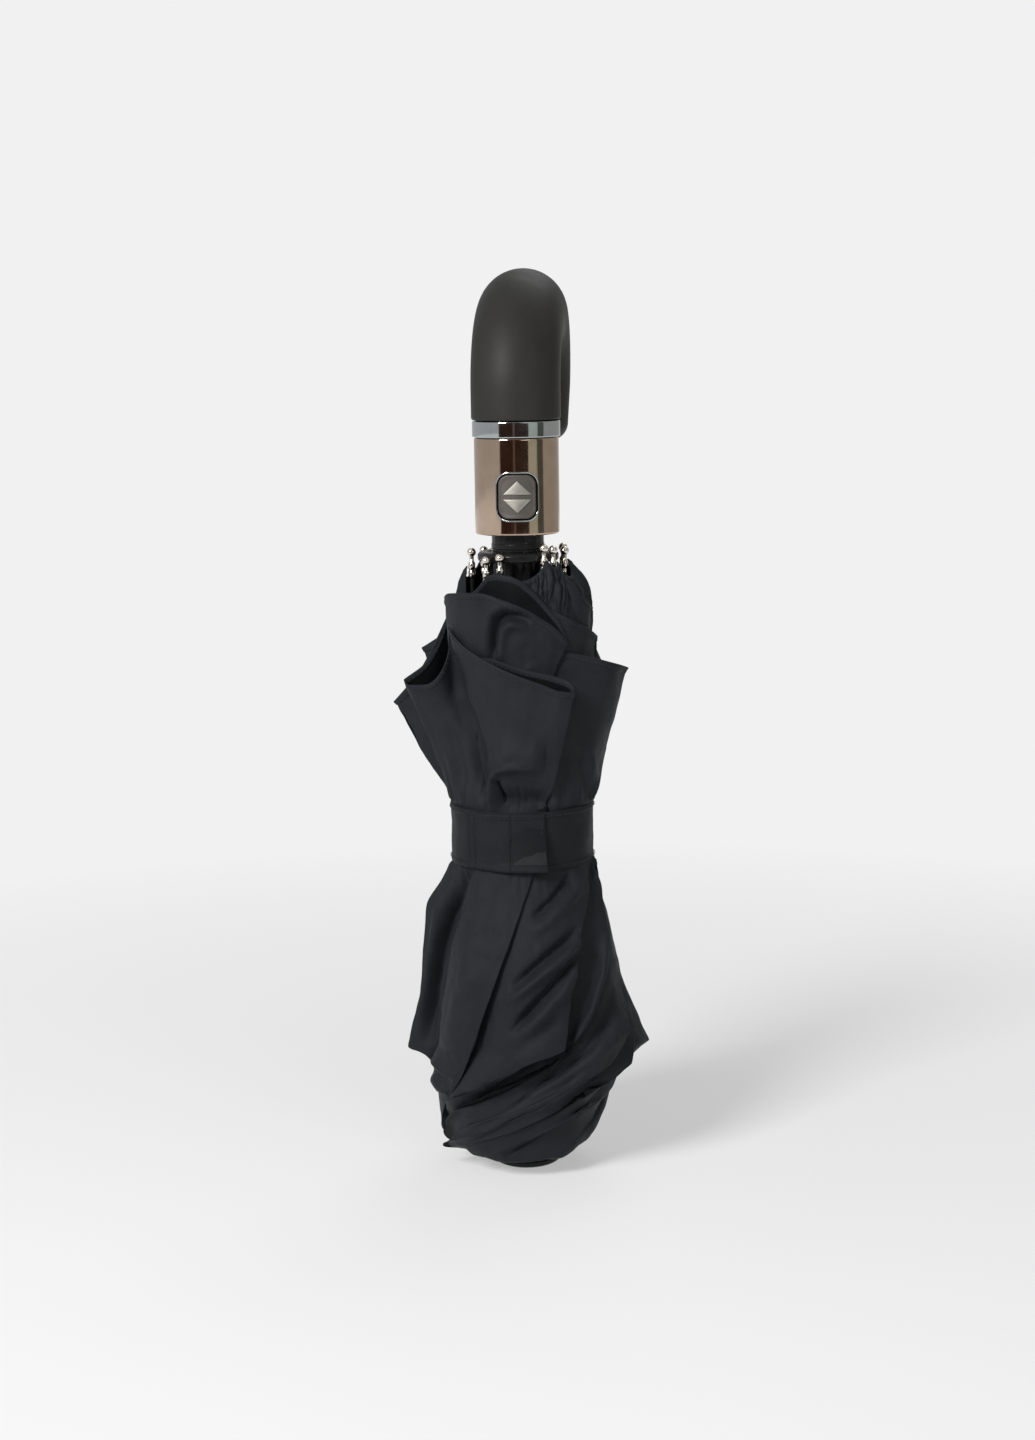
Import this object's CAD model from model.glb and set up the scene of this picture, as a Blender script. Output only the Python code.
"""The looks of a closed automatic umbrella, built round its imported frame. Lengths are in metres."""
import math

import bmesh
import bpy
import numpy as np
from mathutils import Matrix, Vector, noise
from mathutils.bvhtree import BVHTree


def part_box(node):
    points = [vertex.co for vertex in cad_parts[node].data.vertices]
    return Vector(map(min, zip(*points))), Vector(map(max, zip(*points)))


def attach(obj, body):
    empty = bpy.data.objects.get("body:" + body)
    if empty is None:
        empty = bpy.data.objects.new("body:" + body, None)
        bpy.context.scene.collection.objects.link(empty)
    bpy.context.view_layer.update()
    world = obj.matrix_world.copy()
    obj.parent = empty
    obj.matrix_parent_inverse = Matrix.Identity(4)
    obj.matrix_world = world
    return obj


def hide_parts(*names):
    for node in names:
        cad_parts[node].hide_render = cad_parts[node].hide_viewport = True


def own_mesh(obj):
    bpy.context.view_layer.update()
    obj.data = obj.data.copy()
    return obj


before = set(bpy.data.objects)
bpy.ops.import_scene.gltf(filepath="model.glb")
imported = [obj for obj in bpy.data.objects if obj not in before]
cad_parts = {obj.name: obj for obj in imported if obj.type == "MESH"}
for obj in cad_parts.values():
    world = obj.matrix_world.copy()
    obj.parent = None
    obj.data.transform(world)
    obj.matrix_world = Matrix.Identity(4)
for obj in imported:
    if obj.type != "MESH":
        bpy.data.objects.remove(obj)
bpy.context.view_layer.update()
MM = 0.001

# Camera, at the photo's view
IMAGE_WIDTH = 1035
IMAGE_HEIGHT = 1440
LENS = 62.5
SENSOR = 36.0
CAMERA_PITCH = math.radians(8.9)
CAMERA_ROLL = math.radians(0.93)
CAMERA_DISTANCE = 0.929
AIM_HEIGHT = 0.1696
CAMERA_SHIFT_LEFT = 0.0012
PIXEL_FOCUS = LENS / SENSOR * IMAGE_HEIGHT
PIXEL_SIZE = CAMERA_DISTANCE / PIXEL_FOCUS / MM


def placed(name, data):
    """A new object in the scene."""
    item = bpy.data.objects.new(name, data)
    bpy.context.scene.collection.objects.link(item)
    return item


def make_camera():
    """The camera, its place, and the three directions that a pixel is cast along."""
    camera = placed("camera", bpy.data.cameras.new("camera"))
    bpy.context.scene.camera = camera
    camera.data.lens = LENS
    camera.data.sensor_fit = "VERTICAL"
    camera.data.sensor_width = camera.data.sensor_height = SENSOR
    forward = Vector((0.0, math.cos(CAMERA_PITCH), -math.sin(CAMERA_PITCH)))
    side = Vector((1.0, 0.0, 0.0))
    position = Vector((-CAMERA_SHIFT_LEFT, 0.0, AIM_HEIGHT)) - forward * CAMERA_DISTANCE
    rotation = Matrix((side, side.cross(forward), -forward)).transposed()
    rotation = Matrix.Rotation(CAMERA_ROLL, 3, forward) @ rotation
    camera.matrix_world = Matrix.Translation(position) @ rotation.to_4x4()
    return position, rotation.col[0].copy(), rotation.col[1].copy(), forward


EYE, EYE_RIGHT, EYE_UP, EYE_FORWARD = make_camera()


def ray(x, y):
    """The direction from the camera through a pixel of the photo's frame."""
    right = (x - IMAGE_WIDTH / 2) / PIXEL_FOCUS
    up = (IMAGE_HEIGHT / 2 - y) / PIXEL_FOCUS
    return EYE_FORWARD + EYE_RIGHT * right + EYE_UP * up


def ring_point(point):
    """A point as degrees from the front, and radius and height in mm."""
    return (math.degrees(math.atan2(point.x, -point.y)), math.hypot(point.x, point.y) / MM, point.z / MM)


def seen(x, y, radius):
    """The nearest such point at a pixel that is this many mm from the axis."""
    direction = ray(x, y)
    a = direction.x**2 + direction.y**2
    b = EYE.x * direction.x + EYE.y * direction.y
    c = EYE.x**2 + EYE.y**2 - (radius * MM)**2
    return ring_point(EYE + direction * ((-b - math.sqrt(max(0.0, b * b - a * c))) / a))


def seen_at(x, y, depth):
    """The same for the point at a pixel whose own Y is this many mm."""
    direction = ray(x, y)
    return ring_point(EYE + direction * ((depth * MM - EYE.y) / direction.y))


def pixels(points):
    """The pixels of the photo's frame at which an array of points is seen."""
    away = points - np.array(EYE)
    depth = away @ np.array(EYE_FORWARD)
    x = IMAGE_WIDTH / 2 + PIXEL_FOCUS * (away @ np.array(EYE_RIGHT)) / depth
    y = IMAGE_HEIGHT / 2 - PIXEL_FOCUS * (away @ np.array(EYE_UP)) / depth
    return np.stack([x, y], axis=-1)


def around(degrees, radius, height):
    """The point at an angle from the front towards the right, in mm."""
    turn = math.radians(degrees)
    return Vector((radius * math.sin(turn), -radius * math.cos(turn), height)) * MM


# Meshes
def piece(name, verts, faces, body, finish, smooth=True, tidy=False, sharp=None):
    """A mesh object that rides on a body, if asked with its faces turned outward, and with the edges kept sharp that
    turn by more than this many degrees."""
    mesh = bpy.data.meshes.new(name)
    mesh.from_pydata([tuple(v) for v in verts], [], faces)
    mesh.validate()
    if smooth:
        mesh.shade_smooth()
    if finish:
        mesh.materials.append(finish)
    item = placed(name, mesh)
    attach(item, body)
    if tidy:
        tidy_normals(item)
    if sharp:
        sharpen(item, sharp)
    return item


def sharpen(item, degrees):
    """Smooth shading with the edges that turn by more than this kept sharp."""
    item.data.shade_smooth()
    item.data.set_sharp_from_angle(angle=math.radians(degrees))


def tidy_normals(item, join=1e-7):
    """Joins points that coincide and turns the faces outward."""
    mesh = bmesh.new()
    mesh.from_mesh(item.data)
    bmesh.ops.remove_doubles(mesh, verts=mesh.verts, dist=join)
    bmesh.ops.recalc_face_normals(mesh, faces=mesh.faces)
    mesh.to_mesh(item.data)
    mesh.free()


def hoop(centre, radius, side, other, sides):
    """Points round a circle or an ellipse."""
    turns = [2 * math.pi * i / sides for i in range(sides)]
    return [centre + radius * (side * math.cos(turn) + other * math.sin(turn)) for turn in turns]


def loops_to_faces(count, sides, closed=True, first=0):
    """Quads between loops of the same number of points."""
    faces = []
    for row in range(first, first + (count - 1) * sides, sides):
        for i in range(sides if closed else sides - 1):
            a, b = row + i, row + (i + 1) % sides
            faces.append((a, b, b + sides, a + sides))
    return faces


def lathe(profile, sides, centre=(0.0, 0.0, 0.0), along=(0.0, 0.0, 1.0)):
    """Points and faces of a profile of (radius, distance) turned about a line."""
    along = Vector(along).normalized()
    side = along.orthogonal().normalized()
    other = along.cross(side)
    verts = []
    for radius, distance in profile:
        verts += hoop(Vector(centre) + along * distance, radius, side, other, sides)
    return verts, loops_to_faces(len(profile), sides)


def arc_profile(points, corner, steps=5):
    """A profile of (radius, height) whose inner corners are rounded off."""
    result = [points[0]]
    for before, at, after in zip(points, points[1:], points[2:]):
        at, before, after = Vector(at), Vector(before), Vector(after)
        reach_in = min(corner, (before - at).length / 2.01)
        reach_out = min(corner, (after - at).length / 2.01)
        start = at + (before - at).normalized() * reach_in
        end = at + (after - at).normalized() * reach_out
        for step in range(steps + 1):
            share = step / steps
            result.append(tuple(start.lerp(at, share).lerp(at.lerp(end, share), share)))
    result.append(points[-1])
    return result


# Materials
GRIP_COLOUR = (0.030, 0.029, 0.028)
GRIP_COLOURS = ((0.0195, 0.0187, 0.0180), (0.031, 0.0297, 0.028))
SHEEN_TINT = (0.80, 0.88, 1.0, 1.0)


def fill(node, inputs):
    """Fills or links a node's sockets."""
    for key, value in inputs.items():
        if isinstance(value, bpy.types.NodeSocket):
            node.id_data.links.new(value, node.inputs[key])
        else:
            node.inputs[key].default_value = value


def add_node(tree, kind, inputs=None, **settings):
    """A shader node with its settings made and its sockets filled or linked."""
    made = tree.nodes.new(kind)
    for key, value in settings.items():
        setattr(made, key, value)
    fill(made, inputs or {})
    return made


def finish_of(name, colour, roughness, constants):
    """A material with one Principled shader, and its constants set on the shader's own sockets."""
    finish = bpy.data.materials.new(name)
    finish.use_nodes = True
    finish.diffuse_color = (*colour, 1.0)
    shader = finish.node_tree.nodes["Principled BSDF"]
    fill(shader, {"Base Color": (*colour, 1.0), "Roughness": roughness, **constants})
    return finish, finish.node_tree, shader


def place_of(tree, stretch=(1.0, 1.0, 1.0), source="Object"):
    """Coordinates in metres, or along the cloth, each axis stretched by its own factor."""
    coordinates = add_node(tree, "ShaderNodeTexCoord").outputs[source]
    return add_node(tree, "ShaderNodeMapping", {"Vector": coordinates, "Scale": stretch}).outputs["Vector"]


def grain(tree, vector, scale, detail, rough, distortion=0.0):
    """A noise texture's value."""
    return add_node(tree, "ShaderNodeTexNoise", {
        "Vector": vector, "Scale": scale, "Detail": detail, "Roughness": rough, "Distortion": distortion,
    }).outputs["Fac"]


def between(tree, value, low, high, start=0.3, end=0.7):
    """A value brought from the range start to end into the range low to high."""
    return add_node(tree, "ShaderNodeMapRange", {
        "Value": value, "From Min": start, "From Max": end, "To Min": low, "To Max": high,
    }).outputs["Result"]


def mixed(tree, share, first, second, blend="MIX"):
    """A mix of two colours, each given as red, green and blue or as a socket."""
    colours = [each if isinstance(each, bpy.types.NodeSocket) else (*each, 1.0) for each in (first, second)]
    return add_node(tree, "ShaderNodeMix", {0: share, 6: colours[0], 7: colours[1]}, data_type="RGBA",
                    blend_type=blend).outputs[2]


def reckoned(tree, operation, *values):
    """The result of a sum on up to three values."""
    return add_node(tree, "ShaderNodeMath", dict(enumerate(values)), operation=operation).outputs[0]


def raise_by(tree, shader, height, distance, strength):
    """Bump from a height value."""
    made = add_node(tree, "ShaderNodeBump", {"Height": height, "Distance": distance, "Strength": strength})
    fill(shader, {"Normal": made.outputs["Normal"]})


def worn(tree, tone):
    """A tone that is paler on the outer edges, broken up by noise."""
    edges = between(tree, add_node(tree, "ShaderNodeNewGeometry").outputs["Pointiness"], 0.0, 0.5, 0.52, 0.62)
    spots = grain(tree, place_of(tree), 900.0, 4.0, 0.6)
    return reckoned(tree, "MULTIPLY_ADD", reckoned(tree, "MULTIPLY", edges, spots), 1.0, tone)


def soft_touch():
    """Rubbery black lacquer: a fine orange-peel grain, faint handling marks, paler rubbed edges, and a deeper black
    where the surface turns away."""
    finish, tree, shader = finish_of("soft_touch_black", GRIP_COLOUR, 0.42, {
        "Specular IOR Level": 0.16, "Sheen Weight": 0.02, "Sheen Roughness": 0.5})
    marks = grain(tree, place_of(tree, (1.0, 1.0, 0.35)), 85.0, 5.0, 0.62, 0.6)
    tone = mixed(tree, worn(tree, between(tree, marks, 0.0, 0.5)), *GRIP_COLOURS)
    facing = add_node(tree, "ShaderNodeLayerWeight", {"Blend": 0.5}).outputs["Facing"]
    turned = mixed(tree, between(tree, facing, 0.0, 0.75, 0.35, 0.9), (1.0, 1.0, 1.0), (0.0, 0.0, 0.0))
    fill(shader, {"Base Color": mixed(tree, 1.0, tone, turned, "MULTIPLY"),
                  "Roughness": between(tree, marks, 0.45, 0.57)})
    raise_by(tree, shader, grain(tree, place_of(tree), 3800.0, 2.0, 0.5), 0.00004, 0.35)
    return finish


def plated(name, low, high, roughness, stretch=(1.0, 1.0, 0.06), scale=2600.0, depth=0.000004):
    """Bright plating with hairline scratches, a little haze and colour that varies across it."""
    finish, tree, shader = finish_of(name, high, roughness, {"Metallic": 1.0})
    haze = grain(tree, place_of(tree), 130.0, 4.0, 0.6)
    hairs = grain(tree, place_of(tree, stretch), scale, 3.0, 0.7)
    rough = between(tree, haze, roughness * 0.75, roughness * 1.5)
    fill(shader, {"Base Color": mixed(tree, between(tree, haze, 0.0, 1.0), low, high),
                  "Roughness": reckoned(tree, "MULTIPLY_ADD", hairs, roughness * 0.35, rough)})
    raise_by(tree, shader, hairs, depth, 0.5)
    return finish


def moulded(name, low, high, roughness, scale, depth, strength, shine=0.5):
    """Moulded plastic with an eroded grain."""
    finish, tree, shader = finish_of(name, high, roughness, {"Specular IOR Level": shine})
    wide = grain(tree, place_of(tree), 160.0, 4.0, 0.6)
    fill(shader, {"Base Color": mixed(tree, worn(tree, between(tree, wide, 0.0, 0.6)), low, high),
                  "Roughness": between(tree, wide, roughness * 0.85, roughness * 1.2)})
    raise_by(tree, shader, grain(tree, place_of(tree), scale, 3.0, 0.65), depth, strength)
    return finish


def cloth(name, low, high, sheen, thread, strength, lining=1.0):
    """Woven cloth: two crossed sets of threads, uneven dye, rubbed patches and a soft sheen. Its UVs are in mm.

    The lining is how pale the cloth's inside is, as a share of its outside."""
    finish, tree, shader = finish_of(name, high, 0.52, {
        "Specular IOR Level": 0.07, "Sheen Weight": sheen, "Sheen Roughness": 0.42, "Sheen Tint": SHEEN_TINT})
    threads = [add_node(tree, "ShaderNodeTexWave", {
        "Vector": place_of(tree, source="UV"), "Scale": 1.0 / thread, "Distortion": 0.6, "Detail": 1.0,
        "Detail Scale": 2.0,
    }, wave_type="BANDS", bands_direction=direction, wave_profile="SIN").outputs["Fac"] for direction in "XY"]
    slubs = grain(tree, place_of(tree, (1.0, 0.06, 1.0), "UV"), 1.1, 3.0, 0.6)
    rub = grain(tree, place_of(tree), 55.0, 5.0, 0.6, 0.4)
    tone = reckoned(tree, "MULTIPLY_ADD", slubs, 0.4, between(tree, rub, 0.0, 0.6))
    inside = add_node(tree, "ShaderNodeNewGeometry").outputs["Backfacing"]
    shade = mixed(tree, inside, mixed(tree, tone, low, high), [lining * c for c in low])
    fill(shader, {"Base Color": shade, "Roughness": between(tree, rub, 0.46, 0.60)})
    woven = reckoned(tree, "MULTIPLY", *threads)
    raise_by(tree, shader, reckoned(tree, "MULTIPLY_ADD", slubs, 0.8, woven), 0.00006, strength)
    return finish


GRIP_FINISH = soft_touch()
CHROME_FINISH = plated("bright_chrome", (0.41, 0.44, 0.45), (0.49, 0.52, 0.53), 0.07)
GUNMETAL_FINISH = plated("gunmetal_chrome", (0.442, 0.341, 0.262), (0.521, 0.405, 0.315), 0.075)
TIP_FINISH = plated("nickel", (0.72, 0.66, 0.60), (0.86, 0.80, 0.73), 0.14, (1.0, 1.0, 1.0), 1800.0)
ARROW_FINISH = plated("satin_nickel", (0.40, 0.38, 0.345), (0.48, 0.46, 0.42), 0.42, (1.0, 1.0, 1.0), 3000.0)
STEEL_FINISH = plated("steel", (0.50, 0.50, 0.49), (0.54, 0.54, 0.53), 0.20, (1.0, 1.0, 0.03), 1500.0, 0.00001)
BLACK_FINISH = moulded("black_plastic", (0.006, 0.006, 0.0065), (0.013, 0.013, 0.014), 0.26, 1500.0, 0.00003, 0.25,
                        0.22)
GREY_FINISH = moulded("button_grey", (0.054, 0.046, 0.038), (0.083, 0.071, 0.060), 0.50, 2000.0, 0.00012, 0.8)
CLOTH_FINISH = cloth("black_cloth", (0.0111, 0.0125, 0.0147), (0.0196, 0.0217, 0.0246), 0.02, 0.42, 0.35, 0.3)
WEBBING_FINISH = cloth("black_webbing", (0.0090, 0.0101, 0.0117), (0.0146, 0.0161, 0.0181), 0.015, 0.50, 0.40)
TAB_PATCH_FINISH = cloth("tab_patch_webbing", (0.0185, 0.0192, 0.0205), (0.0270, 0.0278, 0.0292), 0.015, 0.50, 0.40)
THREAD_FINISH = cloth("black_thread", (0.020, 0.022, 0.025), (0.034, 0.037, 0.041), 0.02, 0.25, 0.5)

NODE_FINISHES = {
    "soft_touch_black": GRIP_FINISH, "bright_chrome": CHROME_FINISH, "gunmetal_chrome": GUNMETAL_FINISH,
    "button_grey": GREY_FINISH, "black_plastic": BLACK_FINISH, "steel": STEEL_FINISH, "nickel": TIP_FINISH,
    "black_cloth": CLOTH_FINISH, "black_webbing": WEBBING_FINISH,
}
BLACKENED = ("stretcher", "top_rib", "middle_rib", "tail_rib")


def finish_nodes():
    """Each CAD node that stays gets the finish of its slot."""
    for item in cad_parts.values():
        name = item.data.materials[0].name.split(".")[0]
        if item.name.startswith(BLACKENED):
            name = "black_plastic"
        item.data.materials[0] = NODE_FINISHES.get(name, BLACK_FINISH)


def button_coil():
    """The button's spring, which shortens as the button goes in."""
    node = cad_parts["button_spring"]
    verts = [node.matrix_world @ v.co for v in node.data.vertices]
    made = piece("button_coil", verts, [tuple(face.vertices) for face in node.data.polygons], "button", STEEL_FINISH,
                 smooth=False)
    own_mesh(made)
    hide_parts("button_spring")


finish_nodes()
button_coil()

# Handle
HOOK_BEND_RADIUS = 28.0 * MM
HOOK_RISE = 10.6 * MM
HOOK_LEG_DROP = 10.0 * MM
HOOK_TURN = math.radians(7.0)
GRIP_PROUD = 0.3 * MM
GRIP_EDGE = 1.0 * MM
GRIP_TIP_RADIUS = 13.4 * MM
GRIP_END_ROUND = 6.7 * MM
GRIP_SIDES = 64
SOCKET_RADIUS = 12.0 * MM
SOCKET_DEPTH = 4 * MM
BAND_BORE = 14.9 * MM
SLEEVE_WALL = 0.7 * MM
SLEEVE_LIP = 10.0 * MM
BUTTON_HALF = (6.8 * MM, 7.9 * MM)
BUTTON_CORNER = 3.6 * MM
BUTTON_GAP = 0.8 * MM
BUTTON_PROUD = 0.4 * MM
BUTTON_RISE = 14.2 * MM
ARROW_HALF_WIDTH = 5.2 * MM
ARROW_HEIGHT = 4.9 * MM
ARROW_SPACING = 1.7 * MM
RIM_RADIUS = 0.32 * MM
RIM_SQUASH = 0.8
# The layers of the button's face, as how far in from its edge and how deep, in mm, and of an arrow, as size and rise
BUTTON_LAYERS = ((0.9, 0.18), (0.7, 0.02), (0.45, 0.0), (0.3, 0.04), (0.1, 0.16), (0.0, 0.4), (0.0, 3.2))
ARROW_LAYERS = ((1.0, -0.25), (1.0, 0.12), (0.97, 0.2), (0.92, 0.24), (0.6, 0.24), (0.25, 0.24))


def quarter(steps):
    """The sine and cosine at even steps of a quarter turn."""
    angles = [math.pi / 2 * step / steps for step in range(steps + 1)]
    return [(math.sin(angle), math.cos(angle)) for angle in angles]


def hook_grip():
    """The crook, swept up, over and down, with a rounded foot and a domed end."""
    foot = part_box("hook_grip")[0].z + HOOK_LEG_DROP
    grip_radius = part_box("chrome_band")[1].x + GRIP_PROUD
    up, back, side = Vector((0.0, 0.0, 1.0)), Vector((0.0, 1.0, 0.0)), Vector((1.0, 0.0, 0.0))
    stations = [(Vector((0.0, 0.0, foot + SOCKET_DEPTH)), up, SOCKET_RADIUS), (up * foot, up, SOCKET_RADIUS)]
    for sine, cosine in quarter(6):
        stations.append((up * (foot + GRIP_EDGE * (1 - cosine)), up, grip_radius - GRIP_EDGE * (1 - sine)))
    taper_length = math.pi * HOOK_BEND_RADIUS / 2 + HOOK_RISE + HOOK_LEG_DROP
    for step in range(73):
        angle = math.pi * step / 72
        centre = back * (HOOK_BEND_RADIUS * (1 - math.cos(angle)))
        centre += up * (foot + HOOK_RISE + HOOK_BEND_RADIUS * math.sin(angle))
        past_top = max(0.0, HOOK_BEND_RADIUS * (angle - math.pi / 2))
        radius = grip_radius - (grip_radius - GRIP_TIP_RADIUS) * past_top / taper_length
        stations.append((centre, back * math.sin(angle) + up * math.cos(angle), radius))
    for sine, cosine in quarter(12):
        centre = back * 2 * HOOK_BEND_RADIUS + up * (foot - HOOK_LEG_DROP + GRIP_END_ROUND * (1 - sine))
        stations.append((centre, -up, GRIP_TIP_RADIUS - GRIP_END_ROUND * (1 - cosine)))
    turn = Matrix.Rotation(-HOOK_TURN, 3, "Z")
    verts = []
    for centre, along, radius in stations:
        verts += [turn @ point for point in hoop(centre, radius, side, along.cross(side), GRIP_SIDES)]
    faces = loops_to_faces(len(stations), GRIP_SIDES)
    faces.append(tuple(range(len(verts) - GRIP_SIDES, len(verts))))
    grip = piece("grip_shell", verts, faces, "handle", GRIP_FINISH, sharp=50)
    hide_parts("hook_grip")


def turned_piece(name, points, body, finish, replaced, sides, corner):
    """A piece turned about the axis with its corners rounded. Each of its points is a radius and a height in metres,
    and how many mm further out and up it lies; so is the corners' reach in mm."""
    profile = [(radius + out * MM, height + rise * MM) for radius, height, out, rise in points]
    verts, faces = lathe(arc_profile(profile, corner * MM), sides)
    made = piece(name, verts, faces, body, finish, sharp=40)
    if replaced:
        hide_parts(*replaced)


def rounded_outline(half_width, half_height, corner):
    """(x, z) points of a rounded rectangle round the origin, with its straight sides divided too."""
    points = []
    for number in range(4):
        middle = math.pi / 2 * number + math.pi / 4
        centre_x = math.copysign(half_width - corner, math.cos(middle))
        centre_z = math.copysign(half_height - corner, math.sin(middle))
        for step in range(11):
            angle = math.pi / 2 * (number + step / 10)
            points.append((centre_x + corner * math.cos(angle), centre_z + corner * math.sin(angle)))
    spread = []
    for (x, z), (next_x, next_z) in zip(points, points[1:] + points[:1]):
        parts = max(1, round(math.hypot(next_x - x, next_z - z) / (0.8 * MM)))
        spread += [(x + (next_x - x) * i / parts, z + (next_z - z) * i / parts) for i in range(parts)]
    return spread


def on_sleeve(outline, radius, height):
    """Points of an (x, z) outline laid on a cylinder about the axis, on its front."""
    return [Vector((x, -math.sqrt(radius**2 - x**2), height + z)) for x, z in outline]


def stacked(name, loops, body, finish, replaced=()):
    """A piece whose skin runs through loops of points, closed at both ends."""
    sides = len(loops[0])
    verts = [point for loop in loops for point in loop]
    faces = loops_to_faces(len(loops), sides)
    for loop, first in ((loops[0], 0), (loops[-1], (len(loops) - 1) * sides)):
        verts.append(sum(loop, Vector()) / sides)
        faces += [(first + i, first + (i + 1) % sides, len(verts) - 1) for i in range(sides)]
    made = piece(name, verts, faces, body, finish, tidy=True, sharp=42)
    if replaced:
        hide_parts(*replaced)
    return made


def window_rim(path):
    """A thin bead along a closed path of points that lies on the sleeve."""
    sides, count = 8, len(path)
    verts = []
    for i, at in enumerate(path):
        along = (path[(i + 1) % count] - path[i - 1]).normalized()
        out = Vector((at.x, at.y, 0.0)).normalized()
        verts += hoop(at, RIM_RADIUS, along.cross(out).normalized(), out * RIM_SQUASH, sides)
    faces = loops_to_faces(count, sides)
    last = (count - 1) * sides
    faces += [(last + k, last + (k + 1) % sides, (k + 1) % sides, k) for k in range(sides)]
    piece("window_rim", verts, faces, "handle", CHROME_FINISH, tidy=True)


def cut(item, cutter):
    """Takes one mesh out of another and removes the cutter."""
    change = item.modifiers.new("cut", "BOOLEAN")
    change.operation = "DIFFERENCE"
    change.solver = "EXACT"
    change.object = cutter
    graph = bpy.context.evaluated_depsgraph_get()
    mesh = bpy.data.meshes.new_from_object(item.evaluated_get(graph))
    item.modifiers.clear()
    item.data = mesh
    bpy.data.objects.remove(cutter)


def sleeve():
    """The plated tube with its inturned foot, and the button's window with a bright rim."""
    low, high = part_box("metal_sleeve")
    radius, bore = high.x, high.x - SLEEVE_WALL
    floor_height = low.z + SLEEVE_WALL
    profile = [(SLEEVE_LIP, floor_height), (SLEEVE_LIP, low.z), (radius, low.z), (radius, high.z), (bore, high.z),
               (bore, floor_height)]
    verts, faces = lathe([*arc_profile(profile, 0.9 * MM, 8), (SLEEVE_LIP, floor_height)], 160)
    shell = piece("sleeve_shell", verts, faces, "handle", GUNMETAL_FINISH, tidy=True)
    height = low.z + BUTTON_RISE
    window = rounded_outline(*(half + BUTTON_GAP for half in BUTTON_HALF), BUTTON_CORNER + BUTTON_GAP)
    loops = [[Vector((x, y, height + z)) for x, z in window] for y in (-radius - 2 * MM, -radius + 5 * MM)]
    cut(shell, stacked("window_cutter", loops, "handle", None))
    sharpen(shell, 30)
    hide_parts("metal_sleeve")
    window_rim(on_sleeve(window, radius, height))


def button():
    """A rounded key with an eroded face, a raised border and two plated arrows."""
    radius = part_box("metal_sleeve")[1].x + BUTTON_PROUD
    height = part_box("metal_sleeve")[0].z + BUTTON_RISE
    half_width, half_height = BUTTON_HALF
    edge = rounded_outline(half_width, half_height, BUTTON_CORNER)

    def ring(inset, depth):
        scale_x, scale_z = 1 - inset / half_width, 1 - inset / half_height
        return on_sleeve([(x * scale_x, z * scale_z) for x, z in edge], radius - depth, height)

    loops = [ring(half_width * share, 0.18 * MM) for share in (0.92, 0.7, 0.45, 0.25)]
    loops += [ring(inset * MM, depth * MM) for inset, depth in BUTTON_LAYERS]
    key = stacked("button_key", loops, "button", GREY_FINISH, ["push_button"])
    for name, direction in (("arrow_up", 1), ("arrow_down", -1)):
        base = direction * ARROW_SPACING / 2
        corners = [Vector((-ARROW_HALF_WIDTH, base)), Vector((ARROW_HALF_WIDTH, base)),
                   Vector((0.0, base + direction * ARROW_HEIGHT))]
        middle = sum(corners, Vector((0.0, 0.0))) / 3
        outline = [start.lerp(end, step / 14) for start, end in zip(corners, corners[1:] + corners[:1])
                   for step in range(14)]
        loops = [on_sleeve([middle.lerp(point, share) for point in outline], radius + rise * MM, height)
                 for share, rise in ARROW_LAYERS]
        arrow = stacked(name, loops, "button", ARROW_FINISH)
        arrow.parent = key


def handle():
    """The grip, its band, the sleeve, the button and the black neck."""
    hook_grip()
    low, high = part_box("chrome_band")
    points = [(BAND_BORE, low.z, 0, 0), (high.x, low.z, 0, 0), (high.x, high.z, 0, 0), (BAND_BORE, high.z, 0, 0)]
    turned_piece("band_ring", points, "handle", CHROME_FINISH, ["chrome_band"], 160, 0.45)
    sleeve()
    button()
    foot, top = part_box("handle_core")[0].z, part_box("metal_sleeve")[0].z
    points = [(0, foot, 7.6, 0), (0, foot, 9.0, 0), (0, foot, 9.75, 0.9), (0, foot, 9.75, 2.6), (0, foot, 9.3, 3.0),
              (0, top, 9.3, -1.2), (0, top, 9.75, -0.8), (0, top, 9.75, 0.5)]
    turned_piece("neck_collar", points, "handle", BLACK_FINISH, (), 96, 0.2)


# Runner, tips, cap and tubes
RIB_COUNT = 10
RIB_STEP = 36.0
RIB_TURN = 18.0
TIP_LEAN_DEGREES = (15.0, -6.0, -4.0, -22.0, -8.0, 16.0, -6.0, 0.0, 11.0, -5.0)
TIP_RISE_SHARES = (2.6, 2.1, 1.4, 1.9, 1.2, 0.5, 1.1, 1.3, 0.0, 0.7)
TAIL_RING = 16.2
TIP_LEAN_OUT = 0.9
BALL_RADIUS = 1.65
BALL_HEIGHT = 230.4
FOLD_LINE = 24.5
TAIL_WIRE_RADIUS = 0.8
WIRE_STOP = 8.2
NECK_RADIUS = 0.8
FERRULE_RADIUS = 1.3
# The ferrule's radius in mm at each distance before the ball
FERRULE = ((0.0, 8.4), (TAIL_WIRE_RADIUS, 8.4), (FERRULE_RADIUS, 7.2), (FERRULE_RADIUS, 5.6),
           (FERRULE_RADIUS * 0.8, 5.3), (FERRULE_RADIUS * 0.8, 4.9), (FERRULE_RADIUS, 4.6), (FERRULE_RADIUS, 2.6),
           (NECK_RADIUS, 1.8))
RUNNER_BORE = 7.4 * MM
RUNNER_BODY = 9.0 * MM
FLANGE_TALL = 3.4 * MM


def spun(name, profile, sides, root, tip, finish):
    """A profile in mm turned about the line from root to tip, on the canopy's body."""
    verts, faces = lathe([(radius * MM, distance * MM) for radius, distance in profile], sides, root, tip - root)
    return piece(name, verts, faces, "canopy_set", finish, tidy=True, sharp=50)


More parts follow.
